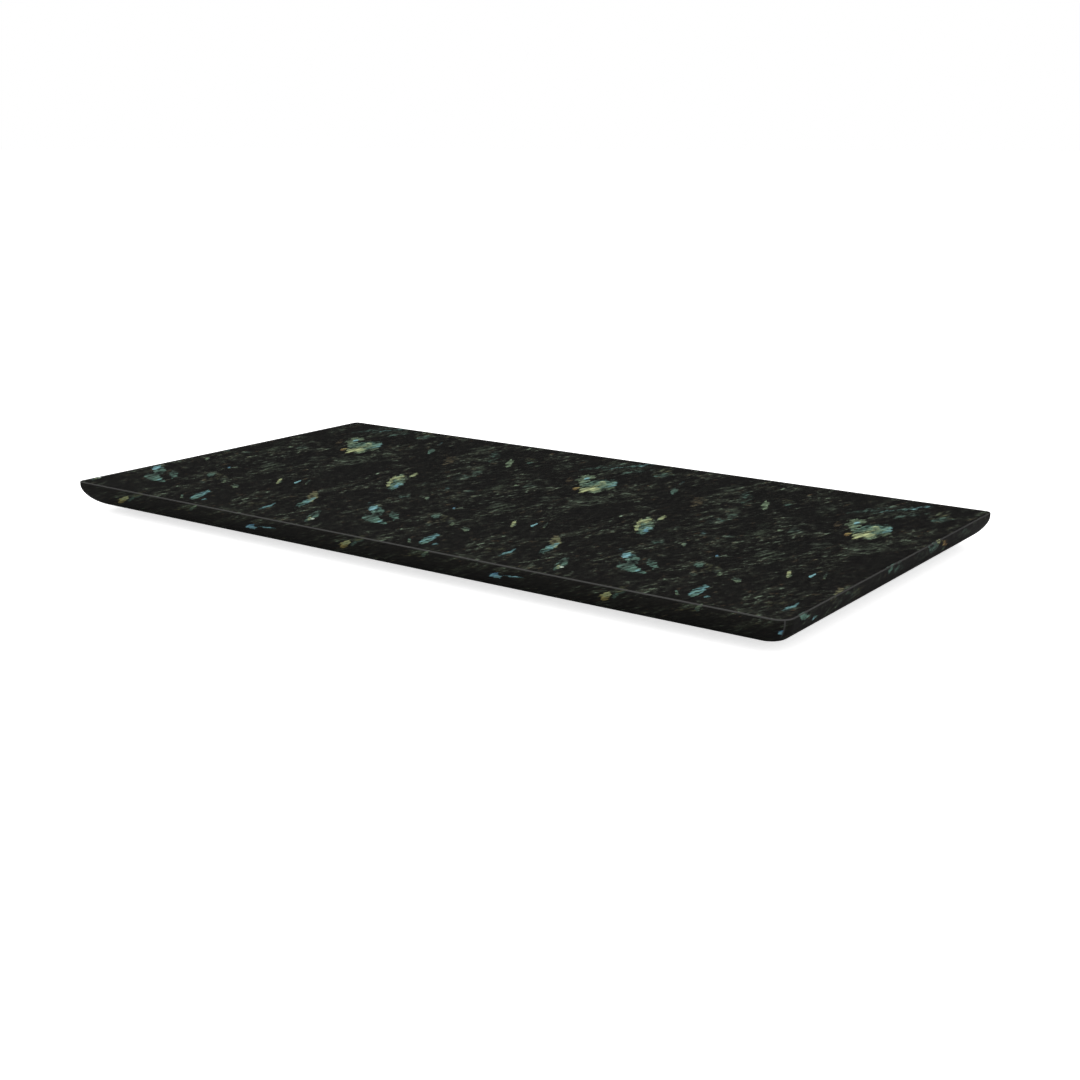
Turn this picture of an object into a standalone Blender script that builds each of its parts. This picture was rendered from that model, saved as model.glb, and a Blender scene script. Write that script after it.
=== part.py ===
"""Granite tooling slab for leatherwork, on six stick-on rubber feet.

Metres, +Z up. X runs along the slab and -Y is the front. The origin is on the bench,
under the middle of the slab, so the feet stand at z = 0.
"""
import math

import bmesh
import bpy

# Stone block
SLAB_LENGTH = 0.610
SLAB_WIDTH = 0.3175
SLAB_THICKNESS = 0.020
CORNER_RADIUS = 0.004
NEAR_CORNER_RADIUS = 0.009
# Edge of the block, from the working face down
ARRIS = 0.0008
NOSE_HEIGHT = 0.003
UNDERCUT = 0.0187
UNDERCUT_POWER = 1.72
# Rubber feet
FOOT_DIAMETER = 0.020
FOOT_HEIGHT = 0.003
FOOT_TAPER = 0.001
FOOT_LIP = 0.0007
FOOT_SET_IN = 0.034
# Adhesive disc between a foot and the stone
ADHESIVE_MARGIN = 0.0015
ADHESIVE_THICKNESS = 0.0006
BOND_GAP = 0.0003
# Smoothness
CORNER_STEPS = 8
UNDERCUT_STEPS = 12
ROUND_SIDES = 40
LIP_STEPS = 4

ADHESIVE_Z = FOOT_HEIGHT + BOND_GAP
UNDERSIDE_Z = ADHESIVE_Z + ADHESIVE_THICKNESS + BOND_GAP
TOP_Z = UNDERSIDE_Z + SLAB_THICKNESS

FOOT_ROWS = {"front": -1, "back": 1}
FOOT_COLUMNS = {"left": -1, "middle": 0, "right": 1}


def clear_scene():
    for item in list(bpy.data.objects):
        bpy.data.objects.remove(item, do_unlink=True)


def make_material(name, color, roughness):
    material = bpy.data.materials.new(name)
    material.use_nodes = True
    shader = material.node_tree.nodes["Principled BSDF"]
    shader.inputs["Base Color"].default_value = (*color, 1.0)
    shader.inputs["Roughness"].default_value = roughness
    shader.inputs["Metallic"].default_value = 0.0
    return material


def add_object(name, mesh_data, material, smooth_angle):
    """Close the bmesh into a named object with one material."""
    bmesh.ops.recalc_face_normals(mesh_data, faces=mesh_data.faces)
    mesh = bpy.data.meshes.new(name)
    mesh_data.to_mesh(mesh)
    mesh_data.free()
    mesh.materials.append(material)
    mesh.shade_smooth()
    mesh.set_sharp_from_angle(angle=math.radians(smooth_angle))
    item = bpy.data.objects.new(name, mesh)
    bpy.context.collection.objects.link(item)
    return item


def loft(rings):
    """Skin a stack of rings with equal point counts, and cap both ends."""
    mesh_data = bmesh.new()
    loops = [[mesh_data.verts.new(point) for point in ring] for ring in rings]
    for upper, lower in zip(loops, loops[1:]):
        for here in range(len(upper)):
            there = (here + 1) % len(upper)
            mesh_data.faces.new((upper[here], upper[there], lower[there], lower[here]))
    mesh_data.faces.new(loops[0])
    mesh_data.faces.new(loops[-1])
    return mesh_data


def rounded_rectangle(length, width, height):
    """Plan outline of the slab at one height, anticlockwise from above.

    The front right corner is eased to a larger radius than the other three.
    """
    points = []
    for quarter in range(4):
        radius = NEAR_CORNER_RADIUS if quarter == 3 else CORNER_RADIUS
        start = quarter * math.pi / 2
        side_x = 1 if quarter in (0, 3) else -1
        side_y = 1 if quarter in (0, 1) else -1
        centre_x = side_x * (length / 2 - radius)
        centre_y = side_y * (width / 2 - radius)
        for step in range(CORNER_STEPS + 1):
            angle = start + step / CORNER_STEPS * math.pi / 2
            x = centre_x + radius * math.cos(angle)
            y = centre_y + radius * math.sin(angle)
            points.append((x, y, height))
    return points


def edge_profile():
    """Set-in and depth down the edge: flat arris, upright nose, then the undercut curve."""
    profile = [(ARRIS, 0.0), (0.0, ARRIS)]
    curve_height = SLAB_THICKNESS - NOSE_HEIGHT
    for step in range(UNDERCUT_STEPS + 1):
        angle = step / UNDERCUT_STEPS * math.pi / 2
        fall = math.sin(angle) ** (2 / UNDERCUT_POWER)
        stand = math.cos(angle) ** (2 / UNDERCUT_POWER)
        profile.append((UNDERCUT * (1 - stand), NOSE_HEIGHT + curve_height * fall))
    return profile


def build_slab(material):
    rings = []
    for set_in, depth in edge_profile():
        length = SLAB_LENGTH - 2 * set_in
        width = SLAB_WIDTH - 2 * set_in
        rings.append(rounded_rectangle(length, width, TOP_Z - depth))
    return add_object("granite_slab", loft(rings), material, 30)


def disc_ring(radius, height):
    turns = [side / ROUND_SIDES * math.tau for side in range(ROUND_SIDES)]
    return [(radius * math.cos(turn), radius * math.sin(turn), height) for turn in turns]


def foot_profile():
    """Radius and height up the button: flat sole, rounded rim, then the flared wall."""
    top_radius = FOOT_DIAMETER / 2
    rim_centre = top_radius - FOOT_TAPER - FOOT_LIP
    run = top_radius - rim_centre
    rise = FOOT_HEIGHT - FOOT_LIP
    wall_turn = math.atan2(rise, run) - math.acos(FOOT_LIP / math.hypot(run, rise))
    profile = []
    for step in range(LIP_STEPS + 1):
        angle = -math.pi / 2 + step / LIP_STEPS * (math.pi / 2 + wall_turn)
        profile.append((rim_centre + FOOT_LIP * math.cos(angle), FOOT_LIP * (1 + math.sin(angle))))
    profile.append((top_radius, FOOT_HEIGHT))
    return profile


def foot_mesh():
    return loft([disc_ring(radius, height) for radius, height in foot_profile()])


def adhesive_mesh():
    radius = FOOT_DIAMETER / 2 - ADHESIVE_MARGIN
    top = ADHESIVE_Z + ADHESIVE_THICKNESS
    return loft([disc_ring(radius, top), disc_ring(radius, ADHESIVE_Z)])


def foot_places():
    """Centre of each foot, measured in from the edge of the flat underside."""
    reach_x = SLAB_LENGTH / 2 - UNDERCUT - FOOT_SET_IN
    reach_y = SLAB_WIDTH / 2 - UNDERCUT - FOOT_SET_IN
    for row, side_y in FOOT_ROWS.items():
        for column, side_x in FOOT_COLUMNS.items():
            yield f"{row}_{column}", (side_x * reach_x, side_y * reach_y, 0.0)


def main():
    clear_scene()
    granite = make_material("granite", (0.020, 0.022, 0.019), 0.30)
    rubber = make_material("foot_rubber", (0.025, 0.025, 0.026), 0.75)
    adhesive = make_material("adhesive", (0.62, 0.60, 0.54), 0.60)
    build_slab(granite)
    for place, location in foot_places():
        foot = add_object(f"foot_{place}", foot_mesh(), rubber, 30)
        foot.location = location
        disc = add_object(f"adhesive_{place}", adhesive_mesh(), adhesive, 30)
        disc.location = location


main()
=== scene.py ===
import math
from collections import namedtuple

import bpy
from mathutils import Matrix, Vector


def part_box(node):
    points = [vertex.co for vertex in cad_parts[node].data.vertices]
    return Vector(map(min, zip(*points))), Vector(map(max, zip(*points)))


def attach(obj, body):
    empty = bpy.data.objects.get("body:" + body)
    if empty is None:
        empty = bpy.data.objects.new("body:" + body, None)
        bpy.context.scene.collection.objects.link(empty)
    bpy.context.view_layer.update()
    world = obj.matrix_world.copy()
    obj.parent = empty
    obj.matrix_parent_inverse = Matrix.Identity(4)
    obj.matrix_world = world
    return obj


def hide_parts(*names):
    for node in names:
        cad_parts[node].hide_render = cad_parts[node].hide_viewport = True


bl_info = {
    "name": "Granite tooling slab",
    "version": (1, 0, 0),
    "blender": (4, 5, 0),
    "location": "View3D > Sidebar > Tooling slab",
    "description": "Builds a labradorite granite slab for leatherwork, on stick-on rubber feet",
    "category": "Add Mesh",
}

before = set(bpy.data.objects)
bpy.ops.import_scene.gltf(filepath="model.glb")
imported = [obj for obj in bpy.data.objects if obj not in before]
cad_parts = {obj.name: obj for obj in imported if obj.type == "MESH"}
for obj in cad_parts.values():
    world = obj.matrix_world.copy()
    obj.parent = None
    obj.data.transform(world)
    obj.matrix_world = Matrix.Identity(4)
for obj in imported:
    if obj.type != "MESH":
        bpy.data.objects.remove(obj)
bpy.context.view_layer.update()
BODY = "root"

MM = 0.001
SLAB_LOW, SLAB_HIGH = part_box("granite_slab")
SLAB_LENGTH = SLAB_HIGH.x - SLAB_LOW.x
SLAB_WIDTH = SLAB_HIGH.y - SLAB_LOW.y
SLAB_THICKNESS = SLAB_HIGH.z - SLAB_LOW.z
TOP_Z = SLAB_HIGH.z

FOOT_NODES = sorted(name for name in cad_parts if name.startswith("foot_"))
ADHESIVE_NODES = sorted(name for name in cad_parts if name.startswith("adhesive_"))

# Camera: where it stands, how it is turned, and its lens on a 36 mm sensor
CAMERA_PLACE = (0.6637, -0.8847, 0.2793)
CAMERA_AZIMUTH = math.radians(35.93)
CAMERA_ELEVATION = math.radians(14.66)
CAMERA_LENS = 50.87
CAMERA_SENSOR = 36

# The stone's figure lies on a flat sheet, in metres, and comes round again each REPEAT. The
# rates, slant, drift and taper say how the working face lies on it
REPEAT = 0.234
SEAM = -0.067
RATE_ALONG = 4.274
RATE_ACROSS = 4.0
SLANT = -1.036
DRIFT = 0.100
TAPER_ALONG = -0.169
TAPER_ACROSS = 0.529
# The front edge's figure is laid out from the camera's place and then fixed in the UV map: each
# point of that edge takes the figure of the spot in line with it on the working face's plane
EYE = Vector(CAMERA_PLACE[:2])
EYE_HEIGHT = CAMERA_PLACE[2] - TOP_Z
# The right edge shows a stretch of the sheet of its own, placed and turned like this
RIGHT_SHEET = Vector((0.050, 0.340))
RIGHT_TURN = math.radians(95)
# Turn of the stone's grain on the sheet
GRAIN_TURN = math.radians(80)
# Steps of the block's mesh, and its widest angle between smoothly shaded faces
ARRIS_STEPS = 4
UNDERCUT_STEPS = 22
CORNER_SEGMENTS = 12
CELLS_ALONG = 62
CELLS_ACROSS = 32
SMOOTH_ANGLE = math.radians(30)
# How squarely a face must look up or down to count as flat, and how near counts as touching
FACING = 0.9
TOUCH = 1e-5
# Steps round a foot and round its lower rim, and its own smoothing angle
FOOT_SIDES = 72
FOOT_RIM_STEPS = 5
FOOT_SMOOTH_ANGLE = math.radians(35)
# Where each side lies on the layout for baking, and its scale in units to the metre
BAKE_SCALE = 1.6
BAKE_SCALE_ENDS = BAKE_SCALE * 0.9
BAKE_SCALE_UNDER = BAKE_SCALE * 0.6
BAKE_HOME = {
    "top": Vector((0.5, 0.738)),
    "under": Vector((0.285, 0.335)),
    "front": Vector((0.5, 0.19)),
    "back": Vector((0.5, 0.13)),
    "right": Vector((0.24, 0.07)),
    "left": Vector((0.74, 0.07)),
}
# Width of the painted highlight band along the back and left rims of the working face
FAR_RIM_HIGHLIGHT = 4 * MM
# Raggedness of the crystals' outlines, and the power that rounds them: 2 is an ellipse
FRAY_SIZE = 3.6 * MM
FRAY_SHIFT = 6 * MM
FRAY_STRETCH = 0.45
CRYSTAL_POWER = 1.7
# How strongly the painted highlight on the arris and on the upright corner lines covers the figure
ARRIS_HIGHLIGHT = 0.85
CORNER_HIGHLIGHT = 0.8
# The painted highlight lines down the upright corners: half width, width with the soft border, and where
# they fade out
LINE_CORE = 0.45 * MM
LINE_REACH = 0.95 * MM
LINE_FADE = (15 * MM, 10 * MM)
# Roughness of the honed stone, the crystals in it, its eased edges and its sawn underside
HONED = 0.42
CRYSTAL_FACE = 0.30
EASED = 0.6
SAWN = 0.85
# Saw marks under the block: pitch, stretch along the cut, depth, and how far they sway
SAW_PITCH = 1.6 * MM
SAW_STRETCH = 0.04
SAW_DEPTH = 0.15 * MM
SAW_SWAY = 4 * MM
SAW_SWAY_SIZE = 60 * MM
# Studio: the floor just under the soles, what it shows and throws back, and the softbox
FLOOR_SIZE = 80
FLOOR_DROP = 0.2 * MM
FLOOR_GLOW = 0.72
FLOOR_BOUNCE = (0.15, 0.15, 0.15, 1.0)
SOFTBOX_PLACE = (-0.9, -0.8, 2.4)
SOFTBOX_SIZE = 2.2
MIRRORED_ROOM = (0.04, 0.04, 0.042, 1.0)


def linear(red, green, blue):
    """Display colour, 0 to 255, as the linear colour that a shader takes."""
    channels = []
    for value in (red, green, blue):
        share = value / 255
        channels.append(share / 12.92 if share <= 0.04045 else ((share + 0.055) / 1.055) ** 2.4)
    return (*channels, 1.0)


PALETTE = {
    "azure": linear(94, 142, 168),
    "ice": linear(114, 158, 164),
    "sky": linear(88, 128, 130),
    "sea": linear(80, 110, 98),
    "mist": linear(60, 76, 68),
    "sage": linear(98, 116, 92),
    "straw": linear(142, 150, 108),
    "gold": linear(150, 140, 84),
    "amber": linear(118, 92, 58),
    "olive": linear(84, 86, 60),
    "moss": linear(58, 68, 54),
    "pewter": linear(66, 76, 64),
    "tan": linear(92, 86, 64),
    "rust": linear(70, 60, 44),
    "pearl": linear(176, 190, 174),
    "night": linear(14, 15, 14),
}
RUBBER = (linear(34, 34, 35), linear(50, 50, 50))
RUBBER_DUST = linear(128, 124, 116)
FOAM = (linear(196, 190, 176), linear(222, 217, 204))
FOAM_CELLS = linear(150, 144, 130)

# Crystals listed one by one: place, half length and half width in millimetres on the sheet, turn in
# degrees, colour of the head and of the tail, and how strongly it shows
Crystal = namedtuple("Crystal", "x y turn reach girth head tail strength")
BLADES = (
    Crystal(14, 58, -57, 26, 13.5, "night", "night", 0.4),
    Crystal(16, 58, -57, 23, 11, "sea", "sage", 0.9),
    Crystal(20, 47, -60, 9, 7, "straw", "straw", 0.7),
    Crystal(-11, 75, -45, 10, 5, "sage", "sage", 0.85),
    Crystal(11, 67, -50, 9, 2.4, "straw", "sage", 0.7),
    Crystal(24, 62, -55, 14, 2.6, "sky", "sage", 0.7),
    Crystal(20, 46, -68, 15, 2.4, "straw", "straw", 0.95),
    Crystal(12, 42, -52, 5.5, 2.2, "gold", "amber", 0.85),
    Crystal(-8, 69, -52, 15, 4.5, "sage", "sage", 0.8),
    Crystal(-1, 62, -52, 14, 2.2, "sea", "sage", 0.8),
    Crystal(-9, 72, -50, 5, 1.8, "ice", "sky", 0.8),
    Crystal(-13, 60, -50, 19, 1.8, "night", "rust", 0.6),
    Crystal(8, 62, -50, 12, 0.9, "night", "night", 0.5),
    Crystal(137, -18, -48, 28, 5.0, "sage", "sea", 0.95),
    Crystal(131.5, -18, -49, 24, 1.5, "straw", "straw", 0.9),
    Crystal(126, -5, -60, 8, 2.6, "straw", "straw", 0.8),
    Crystal(144, -22, -25, 5, 2.6, "ice", "sea", 0.8),
    Crystal(150, -30, -48, 7, 1.6, "azure", "sea", 0.85),
    Crystal(133, -18, -48, 13, 0.8, "night", "night", 0.5),
    Crystal(126, 7, -60, 9, 1.8, "straw", "sage", 0.9),
    Crystal(144, 78, -47, 16, 2.2, "sage", "sage", 0.85),
    Crystal(-37, -91, -45, 8.5, 4.0, "sky", "ice", 0.85),
    Crystal(-25, -98, -45, 15, 4.2, "sea", "mist", 0.9),
    Crystal(-29, -96, -48, 11, 1.1, "night", "night", 0.7),
    Crystal(-8, -99, -38, 15, 2.8, "mist", "sea", 0.85),
    Crystal(-10, -116, -25, 15, 5.5, "mist", "sea", 0.9),
    Crystal(-17, -105, -35, 9, 1.6, "night", "night", 0.8),
    Crystal(4, -120, -20, 6, 2.4, "sky", "sea", 0.8),
    Crystal(-16, -110, -45, 8, 3.4, "mist", "sea", 0.7),
    Crystal(-47, -136, -54, 20, 3.4, "mist", "sea", 0.65),
    Crystal(-47, -137, -54, 14, 1.2, "night", "night", 0.7),
    Crystal(-41, -145, -54, 9, 1.0, "straw", "sea", 0.7),
    Crystal(-40, -142, -50, 3.0, 1.1, "pearl", "pearl", 0.9),
    Crystal(-49, -188, -20, 8, 2.8, "azure", "ice", 1.0),
    Crystal(-53, -185, -65, 5, 2.2, "azure", "ice", 1.0),
    Crystal(-40, -182, 12, 7, 1.5, "ice", "sky", 1.0),
    Crystal(36, -167, -50, 12, 3.6, "olive", "mist", 0.8),
    Crystal(41, -184, -50, 13, 3.0, "straw", "gold", 0.85),
    Crystal(45, -180, -50, 8, 1.6, "sea", "mist", 0.7),
    Crystal(133, -90, -44, 20, 3.4, "tan", "straw", 0.5),
    Crystal(137, -92, -50, 12, 1.6, "olive", "tan", 0.6),
    Crystal(146, -108, -62, 17, 3.0, "sky", "sea", 0.85),
    Crystal(69, -138, -60, 18, 3.6, "sky", "sea", 0.9),
    Crystal(84, -146, -50, 4, 2.2, "sky", "mist", 0.7),
    Crystal(63, -149, -40, 6, 1.2, "sea", "sage", 0.7),
    Crystal(84, -62, -58, 6, 1.2, "ice", "sky", 0.9),
    Crystal(90, -58, -50, 9, 1.2, "mist", "sage", 0.7),
    Crystal(74, -70, -47, 8, 1.4, "sea", "straw", 0.8),
    Crystal(69, -65, -47, 9, 1.3, "sage", "straw", 0.7),
    Crystal(13, -81, -45, 11, 2.6, "pewter", "sea", 0.8),
    Crystal(3, -57, -50, 6, 1.3, "azure", "mist", 0.75),
    Crystal(42, -93, -50, 5, 1.4, "sage", "sage", 0.7),
    Crystal(62, -100, -40, 8, 2.4, "mist", "sage", 0.7),
    Crystal(49, 100, -60, 5, 1.6, "sky", "mist", 0.6),
    Crystal(66, 77, -50, 11, 2.2, "mist", "sea", 0.8),
    Crystal(-28, 26, -45, 3, 1.1, "sage", "sage", 0.8),
    Crystal(-37, -44, -45, 7, 1.5, "mist", "sage", 0.7),
    Crystal(138, -135, -65, 14, 2, "sky", "mist", 0.6),
    Crystal(102, -170, -50, 11, 1.8, "sage", "mist", 0.7),
    Crystal(64, 202, 80, 7, 2.6, "sea", "sea", 1.0),
    Crystal(68, 219, 85, 3.5, 1.4, "ice", "sea", 1.0),
    Crystal(49, 391, 84, 9, 3.8, "sea", "mist", 0.95),
    Crystal(46, 399, 80, 3.4, 1.6, "straw", "straw", 1.0),
    Crystal(49, 411, 68, 7, 1.5, "gold", "amber", 0.85),
    Crystal(54, 414, 68, 4, 1.8, "sage", "mist", 0.9),
)
CLOUDS = (
    Crystal(-12, 106, 78, 30, 13, "moss", "pewter", 0.6),
    Crystal(-18, 122, 78, 22, 5, "sea", "sky", 0.95),
    Crystal(-31, 110, 78, 20, 5, "sea", "mist", 0.8),
    Crystal(-3, 108, 80, 18, 4.5, "mist", "sea", 0.9),
    Crystal(16, 117, -50, 19, 8, "olive", "sea", 0.75),
    Crystal(-52, 92, -55, 18, 8, "pewter", "moss", 0.7),
    Crystal(48, 18, -60, 26, 13, "moss", "pewter", 0.9),
    Crystal(25, 5, -60, 12, 8, "pewter", "pewter", 0.7),
    Crystal(22, -33, -35, 23, 9, "pewter", "moss", 0.9),
    Crystal(-18, 28, -55, 14, 5.5, "mist", "moss", 0.9),
    Crystal(-42, 28, -50, 16, 5, "moss", "moss", 0.7),
    Crystal(-28, 8, -50, 15, 8, "moss", "moss", 0.8),
    Crystal(-33, -8, -55, 9, 4, "mist", "moss", 0.7),
    Crystal(-55, -11, -50, 7, 2.5, "sky", "mist", 0.7),
    Crystal(-55, -48, -45, 11, 4.5, "pewter", "sea", 0.8),
    Crystal(-49, -84, -50, 8, 3, "sky", "mist", 0.6),
    Crystal(119, 87, -48, 24, 5, "sea", "moss", 0.8),
    Crystal(150, 92, -45, 13, 5, "olive", "sea", 0.7),
    Crystal(88, 104, -55, 18, 8, "moss", "pewter", 0.7),
    Crystal(105, 58, -50, 22, 4, "rust", "tan", 0.8),
    Crystal(96, 66, -35, 15, 3, "tan", "rust", 0.7),
    Crystal(150, 45, -50, 17, 5, "moss", "sea", 0.8),
    Crystal(156, 22, -60, 14, 6, "sea", "mist", 0.8),
    Crystal(156, -12, -60, 12, 5, "mist", "moss", 0.7),
    Crystal(126, -135, -60, 11, 8, "olive", "moss", 0.7),
    Crystal(98, -174, -45, 15, 7, "moss", "olive", 0.7),
    Crystal(30, -86, -35, 16, 5, "olive", "mist", 0.8),
    Crystal(28, -99, -45, 14, 5, "tan", "mist", 0.7),
    Crystal(55, 40, -60, 14, 6, "moss", "moss", 0.6),
    Crystal(54, 328, 80, 15, 5, "sea", "mist", 0.9),
    Crystal(52, 375, 80, 11, 4, "mist", "moss", 0.8),
    Crystal(63, 271, 80, 14, 4, "mist", "olive", 0.8),
    Crystal(63, 246, 75, 11, 3, "olive", "mist", 0.8),
    Crystal(46, 450, 80, 12, 3, "mist", "moss", 0.8),
)


class SlabSizes(bpy.types.PropertyGroup):
    """Shape of the granite block's edge."""

    arris: bpy.props.FloatProperty(
        name="Arris", description="Radius of the eased edge round the working face",
        default=0.8 * MM, min=0.1 * MM, unit="LENGTH")
    corner_radius: bpy.props.FloatProperty(
        name="Corner radius", description="Radius of three of the block's upright corners",
        default=4 * MM, min=1 * MM, unit="LENGTH")
    near_corner_radius: bpy.props.FloatProperty(
        name="Near corner radius", description="Radius of the front right corner, eased more",
        default=9 * MM, min=1 * MM, unit="LENGTH")
    nose_height: bpy.props.FloatProperty(
        name="Nose height", description="Depth from the working face to the start of the undercut",
        default=3 * MM, unit="LENGTH")
    undercut: bpy.props.FloatProperty(
        name="Undercut", description="How far the edge curves in underneath",
        default=18.7 * MM, unit="LENGTH")
    fullness: bpy.props.FloatProperty(
        name="Fullness", description="Power of the undercut's curve: 2 is an ellipse, 1 is a flat bevel",
        default=1.72, min=1.0)


class StoneColours(bpy.types.PropertyGroup):
    """Colours of the block's ground mass, the painted highlight on its edges and its sawn underside."""

    ground: bpy.props.FloatVectorProperty(
        name="Ground", description="Darkest colour of the stone",
        default=linear(28, 27, 25)[:3], size=3, subtype="COLOR", min=0, max=1)
    veil: bpy.props.FloatVectorProperty(
        name="Veil", description="Grey-green of the faint clouds",
        default=linear(58, 62, 51)[:3], size=3, subtype="COLOR", min=0, max=1)
    thread: bpy.props.FloatVectorProperty(
        name="Thread", description="Brown of the fine threads",
        default=linear(98, 76, 50)[:3], size=3, subtype="COLOR", min=0, max=1)
    spark: bpy.props.FloatVectorProperty(
        name="Spark", description="Teal of the fine flecks in the clouds",
        default=linear(108, 126, 106)[:3], size=3, subtype="COLOR", min=0, max=1)
    # Painted highlight: the pale colour laid on the eased arris, the back and left rims and the corner
    # lines
    arris: bpy.props.FloatVectorProperty(
        name="Arris", description="Painted highlight along the eased edges, far rims and corner lines",
        default=linear(75, 75, 74)[:3], size=3, subtype="COLOR", min=0, max=1)
    sawn: bpy.props.FloatVectorProperty(
        name="Sawn", description="Grey bloom of the sawn underside",
        default=linear(92, 94, 92)[:3], size=3, subtype="COLOR", min=0, max=1)


class FootSizes(bpy.types.PropertyGroup):
    """Shape of a stick-on rubber foot."""

    taper: bpy.props.FloatProperty(
        name="Taper", description="How much narrower the sole is than the bonded top, on the radius",
        default=1 * MM, unit="LENGTH")
    rim: bpy.props.FloatProperty(
        name="Rim", description="Radius of the rounded lower rim",
        default=0.7 * MM, unit="LENGTH")
    groove_radius: bpy.props.FloatProperty(
        name="Groove radius", description="Inner radius of the moulded ring in the sole",
        default=5 * MM, unit="LENGTH")
    groove_width: bpy.props.FloatProperty(
        name="Groove width", description="Width of the moulded ring",
        default=0.9 * MM, unit="LENGTH")
    groove_depth: bpy.props.FloatProperty(
        name="Groove depth", description="Depth of the moulded ring",
        default=0.4 * MM, unit="LENGTH")


class StageSettings(bpy.types.PropertyGroup):
    """Strength of the studio's light."""

    surround: bpy.props.FloatProperty(
        name="Surround", description="Even light from all round", default=1.08)
    key: bpy.props.FloatProperty(
        name="Key", description="Power of the overhead softbox", default=14.0, unit="POWER")
    floor: bpy.props.FloatVectorProperty(
        name="Floor", description="Colour of the pale floor",
        default=(0.95, 0.95, 0.95), size=3, subtype="COLOR", min=0, max=1)


class NodeBench:
    """Places and joins the nodes of one tree."""

    def __init__(self, tree):
        self.tree = tree

    def add(self, kind, **settings):
        node = self.tree.nodes.new(kind)
        for setting, value in settings.items():
            setattr(node, setting, value)
        return node

    def feed(self, socket, value):
        """Join another node's output to a socket, or set its value."""
        if isinstance(value, bpy.types.NodeSocket):
            self.tree.links.new(value, socket)
        elif value is not None:
            socket.default_value = value

    def math(self, operation, *values, clamp=False):
        node = self.add("ShaderNodeMath", operation=operation, use_clamp=clamp)
        for socket, value in zip(node.inputs, values):
            self.feed(socket, value)
        return node.outputs[0]

    def vector(self, operation, *values):
        node = self.add("ShaderNodeVectorMath", operation=operation)
        for socket, value in zip(node.inputs, values):
            self.feed(socket, value)
        return node.outputs["Value" if operation == "DOT_PRODUCT" else "Vector"]

    def split(self, vector):
        node = self.add("ShaderNodeSeparateXYZ")
        self.feed(node.inputs[0], vector)
        return node.outputs

    def combine(self, x, y, z=0.0):
        node = self.add("ShaderNodeCombineXYZ")
        for socket, value in zip(node.inputs, (x, y, z)):
            self.feed(socket, value)
        return node.outputs[0]

    def grey(self, value):
        """A mask as a colour, to multiply with."""
        node = self.add("ShaderNodeCombineColor")
        for socket in node.inputs:
            self.feed(socket, value)
        return node.outputs[0]

    def turn(self, vector, angle):
        """Turn a coordinate about the upright axis."""
        node = self.add("ShaderNodeVectorRotate", rotation_type="Z_AXIS")
        self.feed(node.inputs["Vector"], vector)
        self.feed(node.inputs["Angle"], angle)
        return node.outputs[0]

    def mix(self, factor, first, second, blend="MIX"):
        node = self.add("ShaderNodeMix", data_type="RGBA", blend_type=blend, clamp_factor=True)
        self.feed(node.inputs[0], factor)
        self.feed(node.inputs[6], first)
        self.feed(node.inputs[7], second)
        return node.outputs[2]

    def spread(self, value, low, high, new_low=0.0, new_high=1.0, smooth=False):
        """Stretch the part of a value between low and high over a new range."""
        kind = "SMOOTHSTEP" if smooth else "LINEAR"
        node = self.add("ShaderNodeMapRange", interpolation_type=kind, clamp=True)
        for socket, part in zip(node.inputs, (value, low, high, new_low, new_high)):
            self.feed(socket, part)
        return node.outputs[0]

    def noise(self, vector, scale, detail=2.0, roughness=0.5, colour=False):
        node = self.add("ShaderNodeTexNoise", noise_dimensions="3D")
        self.feed(node.inputs["Vector"], vector)
        node.inputs["Scale"].default_value = scale
        node.inputs["Detail"].default_value = detail
        node.inputs["Roughness"].default_value = roughness
        return node.outputs["Color" if colour else "Fac"]

    def place_group(self, group, **values):
        node = self.add("ShaderNodeGroup", node_tree=group)
        for name, value in values.items():
            self.feed(node.inputs[name.replace("_", " ")], value)
        return node.outputs


def new_group(name, inputs, outputs):
    """Empty node group with named sockets, its bench, and its input and output nodes."""
    group = bpy.data.node_groups.new(name, "ShaderNodeTree")
    for sockets, side in ((inputs, "INPUT"), (outputs, "OUTPUT")):
        for socket, kind in sockets.items():
            group.interface.new_socket(socket, in_out=side, socket_type="NodeSocket" + kind)
    bench = NodeBench(group)
    return bench, bench.add("NodeGroupInput").outputs, bench.add("NodeGroupOutput").inputs


def figure_sheet(bench):
    """Figure coordinates that come round again each repeat, plain and frayed for outlines."""
    x, y, _ = bench.split(bench.add("ShaderNodeUVMap", uv_map="Figure").outputs["UV"])
    turns = bench.math("FLOOR", bench.math("DIVIDE", bench.math("SUBTRACT", x, SEAM), REPEAT))
    sheet = bench.combine(bench.math("SUBTRACT", x, bench.math("MULTIPLY", turns, REPEAT)), y)
    drawn = bench.vector("MULTIPLY", bench.turn(sheet, GRAIN_TURN), (FRAY_STRETCH, 1.0, 1.0))
    wander = bench.noise(drawn, 1 / FRAY_SIZE, 4.0, 0.7, colour=True)
    shift = bench.vector("SUBTRACT", wander, (0.5, 0.5, 0.5))
    shift = bench.vector("MULTIPLY", shift, (FRAY_SHIFT, FRAY_SHIFT, 0.0))
    return sheet, bench.vector("ADD", sheet, shift)


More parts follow.
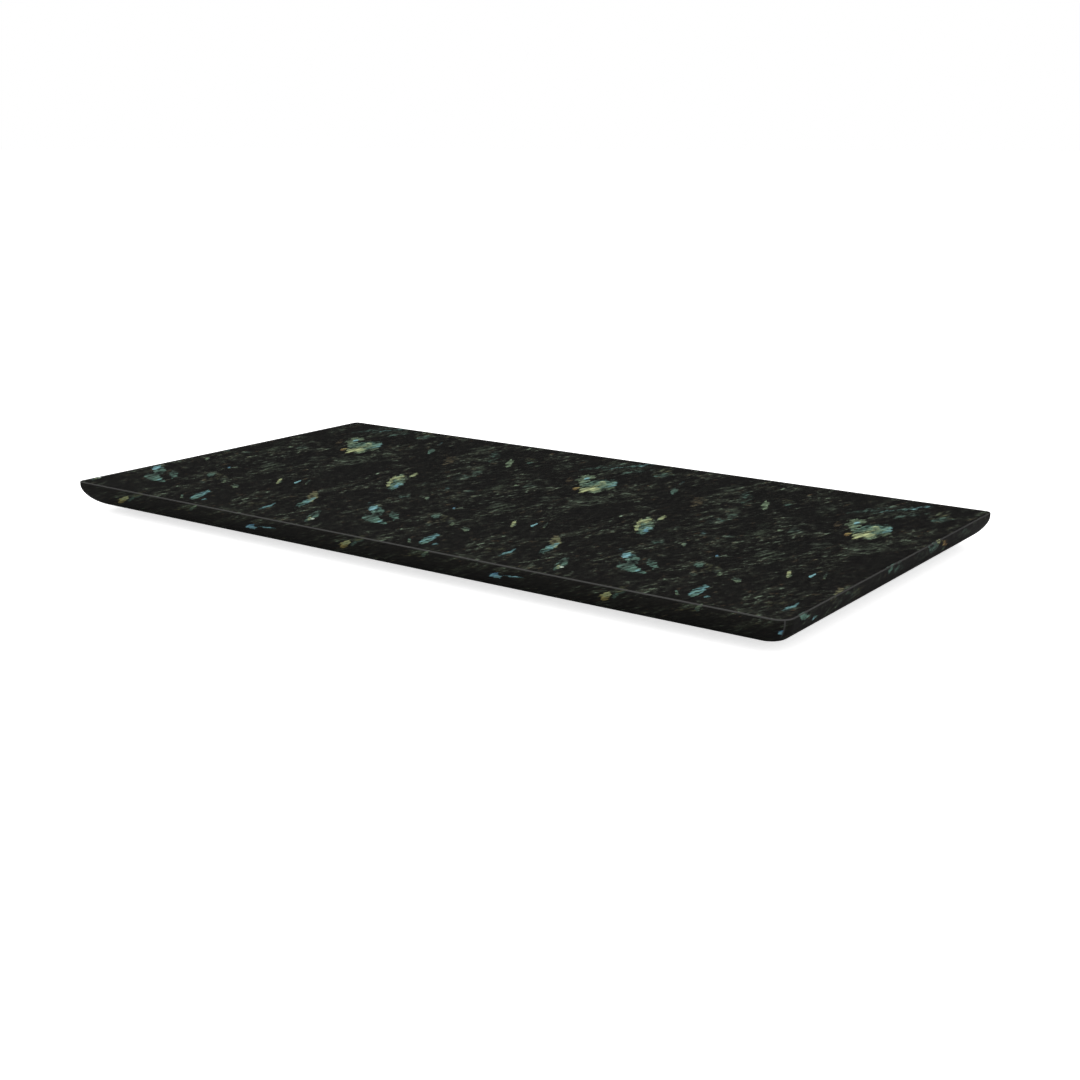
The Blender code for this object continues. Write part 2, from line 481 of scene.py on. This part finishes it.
def grain_group():
    """Noises of seven sizes, each drawn out along the stone's grain."""
    bench, given, result = new_group(
        "Stone grain", {"Sheet": "Vector"},
        {name: "Float" for name in ("Fibre", "Streak", "Cloud", "Fleck", "Tint", "Speck", "Cleavage")})
    turned = bench.turn(given["Sheet"], GRAIN_TURN)
    for name, stretch, size, detail, roughness in (
            ("Fibre", 0.50, 3.2 * MM, 2.0, 0.65),
            ("Streak", 0.40, 7.5 * MM, 4.0, 0.75),
            ("Cloud", 0.50, 34 * MM, 4.0, 0.70),
            ("Fleck", 0.55, 3.4 * MM, 2.0, 0.65),
            ("Tint", 0.36, 5.0 * MM, 2.5, 0.70),
            ("Speck", 0.42, 3.0 * MM, 1.5, 0.60),
            ("Cleavage", 0.26, 3.8 * MM, 2.0, 0.65)):
        drawn = bench.vector("MULTIPLY", turned, (stretch, 1.0, 1.0))
        drawn = bench.vector("ADD", drawn, (0.0, 0.0, size * len(name)))
        bench.feed(result[name], bench.noise(drawn, 1 / size, detail, roughness))
    return bench.tree


def ground_group():
    """Near-black ground mass with grey-green veils, brown threads and pale flecks."""
    bench, given, result = new_group(
        "Ground mass",
        {"Fibre": "Float", "Streak": "Float", "Cloud": "Float", "Fleck": "Float",
         "Tint": "Float", "Ground": "Color", "Veil": "Color", "Thread": "Color",
         "Spark": "Color"},
        {"Color": "Color"})
    haze = bench.spread(given["Cloud"], 0.46, 0.62, 0.10, 1.0, smooth=True)
    streak = bench.spread(given["Streak"], 0.45, 0.65)
    fibre = bench.spread(given["Fibre"], 0.49, 0.70)
    fleck = bench.spread(given["Fleck"], 0.46, 0.68)
    veil = bench.math("MULTIPLY", haze, streak)
    colour = bench.mix(veil, given["Ground"], given["Veil"])
    thread = bench.math("MULTIPLY", bench.spread(given["Tint"], 0.56, 0.70), fibre)
    thread = bench.math("MULTIPLY", thread, bench.math("MULTIPLY_ADD", haze, 0.8, 0.3))
    colour = bench.mix(thread, colour, given["Thread"])
    spark = bench.math("MULTIPLY", bench.math("MULTIPLY", fibre, streak), haze)
    spark = bench.math("MULTIPLY", bench.math("MULTIPLY", spark, fleck), 3.0, clamp=True)
    colour = bench.mix(spark, colour, given["Spark"])
    fine = bench.spread(given["Fibre"], 0.28, 0.72, 0.50, 1.45)
    bench.feed(result["Color"], bench.mix(1.0, colour, bench.grey(fine), blend="MULTIPLY"))
    return bench.tree


def crystal_group():
    """One long crystal laid over the stone: ragged outline, two colours and cleavage lines."""
    bench, given, result = new_group(
        "Crystal",
        {"Stone": "Color", "Gleam": "Float", "Sheet": "Vector", "Centre": "Vector",
         "Along": "Vector", "Across": "Vector", "Head": "Color", "Tail": "Color",
         "Strength": "Float", "Soft": "Float", "Ragged": "Float", "Lines": "Float",
         "Veins": "Float", "Tint": "Float"},
        {"Stone": "Color", "Gleam": "Float"})
    local = bench.vector("SUBTRACT", given["Sheet"], given["Centre"])
    along = bench.vector("DOT_PRODUCT", local, given["Along"])
    across = bench.vector("DOT_PRODUCT", local, given["Across"])
    reach = bench.math("POWER", bench.math("ABSOLUTE", along), CRYSTAL_POWER)
    girth = bench.math("POWER", bench.math("ABSOLUTE", across), CRYSTAL_POWER)
    edge = bench.math("ADD", bench.math("ADD", reach, girth), given["Ragged"])
    inside = bench.spread(
        edge, bench.math("ADD", 1.0, given["Soft"]), bench.math("SUBTRACT", 1.0, given["Soft"]))
    cover = bench.math("MULTIPLY", bench.math("MULTIPLY", inside, given["Strength"]), given["Veins"])
    blend = bench.spread(bench.math("ADD", along, given["Tint"]), -0.5, 0.5)
    body = bench.mix(blend, given["Head"], given["Tail"])
    body = bench.mix(1.0, body, bench.grey(given["Lines"]), blend="MULTIPLY")
    bench.feed(result["Stone"], bench.mix(cover, given["Stone"], body))
    bench.feed(result["Gleam"], bench.math("MAXIMUM", given["Gleam"], cover))
    return bench.tree


def edge_group():
    """Masks for the painted highlight on the eased arris, the back and left rims and the upright corner
    lines, and for the sawn underside.
    """
    bench, given, result = new_group(
        "Worked edges", {"Object": "Vector", "Arris": "Float"},
        {"Arris": "Float", "Corner": "Float", "Sawn": "Float"})
    x, y, z = bench.split(given["Object"])
    from_back = bench.math("SUBTRACT", SLAB_WIDTH / 2, y)
    from_left = bench.math("ADD", SLAB_LENGTH / 2, x)
    # Painted highlight band on the working face along its back and left rims
    far_rim_highlight = bench.spread(bench.math("MINIMUM", from_back, from_left), FAR_RIM_HIGHLIGHT, FAR_RIM_HIGHLIGHT / 2)
    depth = bench.math("SUBTRACT", TOP_Z, z)
    turned = bench.math("DIVIDE", depth, given["Arris"])
    # Painted highlight on the eased arris, joined with the rim band
    rise = bench.spread(turned, 0.02, 0.16)
    fall = bench.spread(turned, 1.25, 0.85)
    arris = bench.math("MULTIPLY", bench.math("MAXIMUM", rise, far_rim_highlight), fall)
    bench.feed(result["Arris"], arris)
    # Painted highlight lines down the upright corners, from under the arris, fading out lower down
    beyond = bench.math("SUBTRACT", bench.math("ABSOLUTE", x), bench.math("ABSOLUTE", y))
    off_line = bench.math("ABSOLUTE", bench.math(
        "SUBTRACT", beyond, (SLAB_LENGTH - SLAB_WIDTH) / 2))
    line = bench.spread(off_line, LINE_REACH, LINE_CORE)
    below = bench.spread(turned, 0.5, 1.0)
    fade = bench.spread(depth, *LINE_FADE)
    bench.feed(result["Corner"], bench.math("MULTIPLY", bench.math("MULTIPLY", line, below), fade))
    flat = bench.spread(z, SLAB_LOW.z + 0.35 * MM, SLAB_LOW.z + 0.05 * MM)
    bench.feed(result["Sawn"], flat)
    return bench.tree


def mottle_group():
    """Soft patches and fine specks for moulded and foamed parts."""
    bench, given, result = new_group(
        "Mottle", {"Object": "Vector", "Patch Size": "Float", "Speck Size": "Float"},
        {"Patch": "Float", "Speck": "Float"})
    for name, size in (("Patch", "Patch Size"), ("Speck", "Speck Size")):
        node = bench.add("ShaderNodeTexNoise")
        bench.feed(node.inputs["Vector"], given["Object"])
        bench.feed(node.inputs["Scale"], bench.math("DIVIDE", 1.0, given[size]))
        node.inputs["Detail"].default_value = 3.0
        bench.feed(result[name], node.outputs["Fac"])
    return bench.tree


def shared_group(name, maker):
    """The node group of that name, made the first time it is asked for."""
    return bpy.data.node_groups.get(name) or maker()


def new_material(name, roughness, specular):
    """Material with an empty bench, its Principled shader and its Object coordinates."""
    material = bpy.data.materials.new(name)
    material.use_nodes = True
    bench = NodeBench(material.node_tree)
    shader = material.node_tree.nodes["Principled BSDF"]
    shader.inputs["Roughness"].default_value = roughness
    shader.inputs["Specular IOR Level"].default_value = specular
    place = bench.add("ShaderNodeTexCoord").outputs["Object"]
    return material, bench, shader, place


def add_relief(bench, shader, height, distance):
    """Fine relief in a material, this deep in metres."""
    bump = bench.add("ShaderNodeBump")
    bump.inputs["Distance"].default_value = distance
    bump.inputs["Strength"].default_value = 1.0
    bench.feed(bump.inputs["Height"], height)
    bench.feed(shader.inputs["Normal"], bump.outputs["Normal"])


def lay_crystals(bench, crystals, stone, gleam, **shared):
    """Lay a list of crystals over the stone, one after another."""
    group = shared_group("Crystal", crystal_group)
    for crystal in crystals:
        turn = math.radians(crystal.turn)
        along = Vector((math.cos(turn), math.sin(turn), 0)) / (crystal.reach * MM)
        across = Vector((-math.sin(turn), math.cos(turn), 0)) / (crystal.girth * MM)
        laid = bench.place_group(
            group, Stone=stone, Gleam=gleam, Centre=(crystal.x * MM, crystal.y * MM, 0.0),
            Along=along, Across=across, Head=PALETTE[crystal.head], Tail=PALETTE[crystal.tail],
            Strength=crystal.strength, **shared)
        stone, gleam = laid["Stone"], laid["Gleam"]
    return stone, gleam


def granite_material():
    """Honed labradorite granite, with a painted highlight on its eased edges and corner lines, and a
    sawn underside.
    """
    colours = bpy.context.scene.stone_colours
    sizes = bpy.context.scene.slab_sizes
    material, bench, shader, place = new_material("labradorite_granite", HONED, 0.18)
    sheet, frayed = figure_sheet(bench)
    grain = bench.place_group(shared_group("Stone grain", grain_group), Sheet=sheet)
    stone = bench.place_group(
        shared_group("Ground mass", ground_group), Fibre=grain["Fibre"], Streak=grain["Streak"],
        Cloud=grain["Cloud"], Fleck=grain["Fleck"], Tint=grain["Tint"],
        Ground=(*colours.ground, 1.0), Veil=(*colours.veil, 1.0),
        Thread=(*colours.thread, 1.0), Spark=(*colours.spark, 1.0))["Color"]
    tint = bench.spread(grain["Tint"], 0.35, 0.65, -1.0, 1.0)
    stone, _ = lay_crystals(
        bench, CLOUDS, stone, 0.0, Sheet=frayed, Tint=tint, Soft=0.45,
        Ragged=bench.spread(grain["Streak"], 0.32, 0.68, 1.3, -0.5),
        Lines=bench.spread(grain["Fibre"], 0.30, 0.70, 0.35, 2.1),
        Veins=bench.spread(grain["Speck"], 0.46, 0.62, 0.05, 1.0))
    stone, gleam = lay_crystals(
        bench, BLADES, stone, 0.0, Sheet=frayed, Tint=tint, Soft=0.12,
        Ragged=bench.spread(grain["Fleck"], 0.30, 0.70, 0.55, -0.45),
        Lines=bench.spread(grain["Cleavage"], 0.34, 0.66, 0.22, 2.1),
        Veins=bench.math(
            "MULTIPLY", bench.spread(grain["Streak"], 0.33, 0.43, 0.15, 1.0),
            bench.spread(grain["Fibre"], 0.34, 0.50, 0.12, 1.0)))
    edges = bench.place_group(
        shared_group("Worked edges", edge_group), Object=place, Arris=sizes.arris)
    # Painted highlight: the pale arris colour laid over the eased edges, the back and left rims and the
    # corner lines
    for mask, cover in (("Arris", ARRIS_HIGHLIGHT), ("Corner", CORNER_HIGHLIGHT)):
        dust_and_highlight = bench.math("MULTIPLY", edges[mask], cover)
        stone = bench.mix(dust_and_highlight, stone, (*colours.arris, 1.0))
    stone = sawn_finish(bench, shader, place, stone, gleam, edges, colours)
    bench.feed(shader.inputs["Base Color"], stone)
    return material


def sawn_finish(bench, shader, place, stone, gleam, edges, colours):
    """Grey bloom and saw marks under the block, and the roughness of every face."""
    x, y, _ = bench.split(place)
    sway = bench.noise(place, 1 / SAW_SWAY_SIZE, 2.0)
    marks = bench.noise(bench.combine(
        bench.math("MULTIPLY", x, SAW_STRETCH), bench.math("MULTIPLY_ADD", sway, SAW_SWAY, y)),
        1 / SAW_PITCH, 3.0, 0.6)
    bloom = bench.spread(marks, 0.3, 0.7, 0.45, 0.8)
    stone = bench.mix(bench.math("MULTIPLY", edges["Sawn"], bloom), stone, (*colours.sawn, 1.0))
    rough = bench.spread(gleam, 0.0, 1.0, HONED, CRYSTAL_FACE)
    for mask, worked in (("Sawn", SAWN), ("Arris", EASED)):
        rough = bench.math("MAXIMUM", rough, bench.math("MULTIPLY", edges[mask], worked))
    bench.feed(shader.inputs["Roughness"], rough)
    add_relief(bench, shader, bench.math("MULTIPLY", marks, edges["Sawn"]), SAW_DEPTH)
    return stone


def rubber_material():
    """Moulded black rubber with a dusty sole."""
    material, bench, shader, place = new_material("foot_rubber", 0.7, 0.3)
    mottle = bench.place_group(
        shared_group("Mottle", mottle_group), Object=place, Patch_Size=5 * MM, Speck_Size=0.5 * MM)
    colour = bench.mix(mottle["Patch"], *RUBBER)
    _, _, z = bench.split(place)
    dust_and_highlight = bench.math("MULTIPLY", bench.spread(z, 0.5 * MM, 0.0), mottle["Speck"])
    colour = bench.mix(dust_and_highlight, colour, RUBBER_DUST)
    bench.feed(shader.inputs["Base Color"], colour)
    bench.feed(shader.inputs["Roughness"], bench.spread(mottle["Patch"], 0.3, 0.7, 0.6, 0.85))
    add_relief(bench, shader, mottle["Speck"], 0.08 * MM)
    return material


def adhesive_material():
    """Closed-cell foam tape with tacky faces."""
    material, bench, shader, place = new_material("foam_tape", 0.6, 0.4)
    mottle = bench.place_group(
        shared_group("Mottle", mottle_group), Object=place, Patch_Size=3 * MM, Speck_Size=0.25 * MM)
    colour = bench.mix(mottle["Patch"], *FOAM)
    cells = bench.spread(mottle["Speck"], 0.35, 0.6, 0.7, 0.0)
    colour = bench.mix(cells, colour, FOAM_CELLS)
    bench.feed(shader.inputs["Base Color"], colour)
    bench.feed(shader.inputs["Roughness"], bench.spread(mottle["Speck"], 0.3, 0.7, 0.75, 0.5))
    add_relief(bench, shader, mottle["Speck"], 0.05 * MM)
    return material


def floor_material(colour):
    """Pale paper that throws little light back up under the block."""
    material, bench, shader, place = new_material("studio_floor", 0.9, 0.0)
    tone = bench.spread(bench.noise(place, 1.5, 2.0), 0.3, 0.7, 0.985, 1.0)
    paper = bench.mix(1.0, (*colour, 1.0), bench.grey(tone), blend="MULTIPLY")
    seen = bench.add("ShaderNodeLightPath").outputs["Is Camera Ray"]
    bench.feed(shader.inputs["Base Color"], bench.mix(seen, FLOOR_BOUNCE, paper))
    bench.feed(shader.inputs["Emission Color"], bench.mix(seen, (0, 0, 0, 1), paper))
    shader.inputs["Emission Strength"].default_value = FLOOR_GLOW
    return material


def deselect_all():
    """Leave edit mode, with nothing selected."""
    if bpy.context.object and bpy.context.object.mode != "OBJECT":
        bpy.ops.object.mode_set(mode="OBJECT")
    bpy.ops.object.select_all(action="DESELECT")


def choose(item, kind, test):
    """Select the vertices or the faces of a piece that pass a test, and nothing else."""
    if item.mode != "EDIT":
        bpy.ops.object.mode_set(mode="EDIT")
    bpy.ops.mesh.select_mode(type={"vertices": "VERT", "polygons": "FACE"}[kind])
    bpy.ops.mesh.select_all(action="DESELECT")
    bpy.ops.object.mode_set(mode="OBJECT")
    picked = 0
    for part in getattr(item.data, kind):
        part.select = test(part)
        picked += part.select
    if not picked:
        raise RuntimeError(f"nothing to select on {item.name}")
    bpy.ops.object.mode_set(mode="EDIT")


def hand_over(item, material, slot, *nodes):
    """Give a finished piece its material, its body and the node it stands for."""
    item.data.materials.clear()
    item.data.materials.append(material)
    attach(item, BODY)
    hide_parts(*nodes)


def edge_profile(sizes):
    """Set-in and depth down the block's edge: eased arris, upright nose, undercut curve."""
    profile = []
    for step in range(ARRIS_STEPS + 1):
        angle = step / ARRIS_STEPS * math.pi / 2
        profile.append((sizes.arris * (1 - math.sin(angle)), sizes.arris * (1 - math.cos(angle))))
    undercut_height = SLAB_THICKNESS - sizes.nose_height
    for step in range(UNDERCUT_STEPS + 1):
        angle = step / UNDERCUT_STEPS * math.pi / 2
        fall = math.sin(angle) ** (2 / sizes.fullness)
        stand = math.cos(angle) ** (2 / sizes.fullness)
        profile.append((sizes.undercut * (1 - stand), sizes.nose_height + undercut_height * fall))
    return profile


def shape_slab(sizes):
    """Working face as a grid with rounded corners, then its rim drawn down the edge profile."""
    profile = edge_profile(sizes)
    deselect_all()
    bpy.ops.mesh.primitive_grid_add(
        x_subdivisions=CELLS_ALONG, y_subdivisions=CELLS_ACROSS, size=1, location=(0, 0, TOP_Z))
    slab = bpy.context.object
    slab.name = "stone_slab"
    slab.data.name = "stone_slab"
    length = SLAB_LENGTH - 2 * profile[0][0]
    width = SLAB_WIDTH - 2 * profile[0][0]
    slab.scale = (length, width, 1)
    bpy.ops.object.transform_apply(location=True, rotation=True, scale=True)
    reach = length / 2 + width / 2 - MM
    for near, radius in ((False, sizes.corner_radius), (True, sizes.near_corner_radius)):
        choose(slab, "vertices", lambda corner: (
            abs(corner.co.x) + abs(corner.co.y) > reach
            and (corner.co.x - corner.co.y > reach) == near))
        bpy.ops.mesh.bevel(
            offset=radius, segments=CORNER_SEGMENTS, affect="VERTICES", profile=0.5)
    bpy.ops.mesh.select_all(action="SELECT")
    bpy.ops.mesh.region_to_loop()
    for (_, above), (set_in, depth) in zip(profile, profile[1:]):
        bpy.ops.mesh.extrude_edges_move(TRANSFORM_OT_translate={"value": (0, 0, above - depth)})
        new_length = SLAB_LENGTH - 2 * set_in
        new_width = SLAB_WIDTH - 2 * set_in
        bpy.ops.transform.resize(
            value=(new_length / length, new_width / width, 1),
            center_override=(0, 0, TOP_Z - depth))
        length = new_length
        width = new_width
    bpy.ops.mesh.edge_face_add()
    bpy.ops.mesh.select_all(action="SELECT")
    bpy.ops.mesh.normals_make_consistent(inside=False)
    choose(slab, "polygons", lambda face: side_of(face) == "top")
    bpy.ops.mesh.region_to_loop()
    bpy.ops.mesh.mark_sharp()
    bpy.ops.object.mode_set(mode="OBJECT")
    bpy.ops.object.shade_smooth_by_angle(angle=SMOOTH_ANGLE)
    return slab, profile


def figure_at(x, y):
    """Where a point of the working face lies on the figure sheet."""
    divisor = 1 + TAPER_ALONG * x + TAPER_ACROSS * y
    along = (RATE_ALONG * x + SLANT * y) / divisor
    across = (DRIFT * x + RATE_ACROSS * y) / divisor
    return Vector((along, across)) * REPEAT


def rim_length(profile, depth):
    """Distance down the edge from the working face to a depth."""
    run = 0.0
    for (set_in, above), (next_in, below) in zip(profile, profile[1:]):
        step = math.hypot(next_in - set_in, below - above)
        if depth <= below:
            return run + step * max(depth - above, 0.0) / max(below - above, 1e-9)
        run += step
    return run


def side_of(face):
    """Name of the side of the block that a face belongs to."""
    if face.normal.z > FACING and face.center.z > TOP_Z - TOUCH:
        return "top"
    if face.center.z < SLAB_LOW.z + TOUCH:
        return "under"
    past_x = abs(face.center.x) - SLAB_LENGTH / 2
    past_y = abs(face.center.y) - SLAB_WIDTH / 2
    if past_x > past_y:
        return "right" if face.center.x > 0 else "left"
    return "back" if face.center.y > 0 else "front"


def in_line_on_top(point):
    """Where the line from the camera's place to a point crosses the working face's plane."""
    depth = TOP_Z - point.z
    flat = Vector((point.x, point.y))
    return flat + (EYE - flat) * depth / (EYE_HEIGHT + depth)


def figure_point(side, point, run):
    """Figure coordinate of a point on one side; run is its distance down the edge."""
    if side in ("top", "under"):
        return figure_at(point.x, point.y)
    if side == "front":
        return figure_at(*in_line_on_top(point))
    if side == "right":
        return RIGHT_SHEET + Matrix.Rotation(RIGHT_TURN, 2) @ Vector((point.y, -run))
    if side == "left":
        return figure_at(-SLAB_LENGTH / 2 - run, point.y)
    return figure_at(point.x, SLAB_WIDTH / 2 + run)


def bake_point(side, point, run):
    """Place on the flat layout made for baking the block's colours."""
    if side == "top":
        return BAKE_HOME[side] + Vector((point.x, point.y)) * BAKE_SCALE
    if side == "under":
        return BAKE_HOME[side] + Vector((point.x, point.y)) * BAKE_SCALE_UNDER
    if side in ("front", "back"):
        return BAKE_HOME[side] + Vector((point.x, -run)) * BAKE_SCALE
    return BAKE_HOME[side] + Vector((point.y, -run)) * BAKE_SCALE_ENDS


def lay_figure(slab, profile):
    """Two UV maps: the stone's figure in metres, and the layout for baking."""
    figure = slab.data.uv_layers.new(name="Figure")
    layout = slab.data.uv_layers.new(name="OFBake")
    for face in slab.data.polygons:
        side = side_of(face)
        for corner in face.loop_indices:
            point = slab.data.vertices[slab.data.loops[corner].vertex_index].co
            run = rim_length(profile, TOP_Z - point.z)
            figure.data[corner].uv = figure_point(side, point, run)
            layout.data[corner].uv = bake_point(side, point, run)


class TOOLSLAB_OT_stone(bpy.types.Operator):
    """Build the granite block"""

    bl_idname = "tooling_slab.stone"
    bl_label = "Granite block"

    def execute(self, context):
        slab, profile = shape_slab(context.scene.slab_sizes)
        lay_figure(slab, profile)
        hand_over(slab, granite_material(), "granite", "granite_slab")
        return {"FINISHED"}


def shape_foot(sizes, radius, height):
    """Rubber button on the origin: tapered wall, rounded rim and a ring moulded in the sole."""
    deselect_all()
    bpy.ops.mesh.primitive_cylinder_add(
        vertices=FOOT_SIDES, radius=radius, depth=height, location=(0, 0, height / 2))
    foot = bpy.context.object
    bpy.ops.object.transform_apply(location=True, rotation=True, scale=True)
    choose(foot, "polygons", lambda face: face.normal.z < -FACING)
    narrow = (radius - sizes.taper) / radius
    bpy.ops.transform.resize(value=(narrow, narrow, 1), center_override=(0, 0, 0))
    bpy.ops.mesh.bevel(offset=sizes.rim, segments=FOOT_RIM_STEPS, affect="EDGES", profile=0.5)
    rings = (sizes.groove_radius + sizes.groove_width, sizes.groove_radius)
    sole = radius - sizes.taper - sizes.rim
    for ring in rings:
        choose(foot, "polygons", lambda face: face.normal.z < -FACING and face.center.length < MM)
        bpy.ops.mesh.inset(thickness=sole - ring, depth=0)
        sole = ring
    middle = sum(rings) / 2
    choose(foot, "polygons", lambda face: (
        face.normal.z < -FACING and abs(face.center.xy.length - middle) < sizes.groove_width / 3))
    bpy.ops.mesh.extrude_region_move(TRANSFORM_OT_translate={"value": (0, 0, sizes.groove_depth)})
    bpy.ops.mesh.select_all(action="SELECT")
    bpy.ops.mesh.normals_make_consistent(inside=False)
    bpy.ops.object.mode_set(mode="OBJECT")
    bpy.ops.object.shade_smooth_by_angle(angle=FOOT_SMOOTH_ANGLE)
    return foot


class TOOLSLAB_OT_feet(bpy.types.Operator):
    """Build one rubber foot and copy it to each place"""

    bl_idname = "tooling_slab.feet"
    bl_label = "Rubber feet"

    def execute(self, context):
        low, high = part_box(FOOT_NODES[0])
        pattern = shape_foot(context.scene.foot_sizes, (high.x - low.x) / 2, high.z - low.z)
        material = rubber_material()
        for node in FOOT_NODES:
            low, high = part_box(node)
            foot = pattern.copy()
            foot.data = pattern.data.copy()
            foot.name = node.replace("foot", "rubber_foot")
            foot.data.name = foot.name
            context.scene.collection.objects.link(foot)
            middle = (low + high) / 2
            foot.data.transform(Matrix.Translation((middle.x, middle.y, low.z)))
            hand_over(foot, material, "foot_rubber", node)
        bpy.data.objects.remove(pattern)
        return {"FINISHED"}


class TOOLSLAB_OT_adhesive(bpy.types.Operator):
    """Finish the adhesive discs between the feet and the stone"""

    bl_idname = "tooling_slab.adhesive"
    bl_label = "Adhesive discs"

    def execute(self, context):
        material = adhesive_material()
        for node in ADHESIVE_NODES:
            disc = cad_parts[node]
            for slot in disc.material_slots:
                slot.material = material
        return {"FINISHED"}


def light_world(strength):
    """Even white surround; what the stone mirrors of it is kept dim."""
    world = bpy.data.worlds.new("studio")
    bpy.context.scene.world = world
    world.use_nodes = True
    bench = NodeBench(world.node_tree)
    ground = world.node_tree.nodes["Background"]
    path = bench.add("ShaderNodeLightPath").outputs
    seen = bench.mix(path["Is Camera Ray"], (strength, strength, strength, 1.0), (1, 1, 1, 1))
    mirrored = bench.mix(path["Is Glossy Ray"], seen, MIRRORED_ROOM)
    bench.feed(ground.inputs["Color"], mirrored)
    ground.inputs["Strength"].default_value = 1.0


def add_softbox(name, place, size, power):
    """Square area light that faces the middle of the slab."""
    light = bpy.data.lights.new(name, "AREA")
    light.shape = "SQUARE"
    light.size = size
    light.energy = power
    lamp = bpy.data.objects.new(name, light)
    lamp.location = place
    lamp.rotation_euler = (-Vector(place)).to_track_quat("-Z", "Y").to_euler()
    bpy.context.scene.collection.objects.link(lamp)


class TOOLSLAB_OT_stage(bpy.types.Operator):
    """Set the floor, the light and the camera"""

    bl_idname = "tooling_slab.stage"
    bl_label = "Studio"

    def execute(self, context):
        settings = context.scene.stage_settings
        deselect_all()
        bpy.ops.mesh.primitive_plane_add(size=FLOOR_SIZE, location=(0, 0, -FLOOR_DROP))
        floor = context.object
        floor.name = "studio_floor"
        floor.data.materials.append(floor_material(settings.floor))
        light_world(settings.surround)
        add_softbox("softbox", SOFTBOX_PLACE, SOFTBOX_SIZE, settings.key)
        lens = bpy.data.cameras.new("camera")
        lens.lens = CAMERA_LENS
        lens.sensor_width = CAMERA_SENSOR
        camera = bpy.data.objects.new("camera", lens)
        camera.location = CAMERA_PLACE
        camera.rotation_euler = (math.pi / 2 - CAMERA_ELEVATION, 0, CAMERA_AZIMUTH)
        context.scene.collection.objects.link(camera)
        context.scene.camera = camera
        context.scene.view_settings.view_transform = "Standard"
        return {"FINISHED"}


class TOOLSLAB_PT_panel(bpy.types.Panel):
    """Lists the steps and their sizes"""

    bl_idname = "TOOLSLAB_PT_panel"
    bl_label = "Tooling slab"
    bl_space_type = "VIEW_3D"
    bl_region_type = "UI"
    bl_category = "Tooling slab"

    def draw(self, context):
        layout = self.layout
        for operator in OPERATORS:
            layout.operator(operator.bl_idname)
        for group, _ in GROUPS:
            settings = getattr(context.scene, group)
            box = layout.box()
            for name in settings.__annotations__:
                box.prop(settings, name)


OPERATORS = (
    TOOLSLAB_OT_stage,
    TOOLSLAB_OT_stone,
    TOOLSLAB_OT_feet,
    TOOLSLAB_OT_adhesive,
)
GROUPS = (
    ("slab_sizes", SlabSizes),
    ("stone_colours", StoneColours),
    ("foot_sizes", FootSizes),
    ("stage_settings", StageSettings),
)


def register():
    for name, group in GROUPS:
        bpy.utils.register_class(group)
        setattr(bpy.types.Scene, name, bpy.props.PointerProperty(type=group))
    for operator in OPERATORS:
        bpy.utils.register_class(operator)
    bpy.utils.register_class(TOOLSLAB_PT_panel)


def unregister():
    bpy.utils.unregister_class(TOOLSLAB_PT_panel)
    for operator in reversed(OPERATORS):
        bpy.utils.unregister_class(operator)
    for name, group in GROUPS:
        delattr(bpy.types.Scene, name)
        bpy.utils.unregister_class(group)


def main():
    register()
    bpy.ops.tooling_slab.stage()
    bpy.ops.tooling_slab.stone()
    bpy.ops.tooling_slab.feet()
    bpy.ops.tooling_slab.adhesive()


if __name__ == "__main__":
    main()
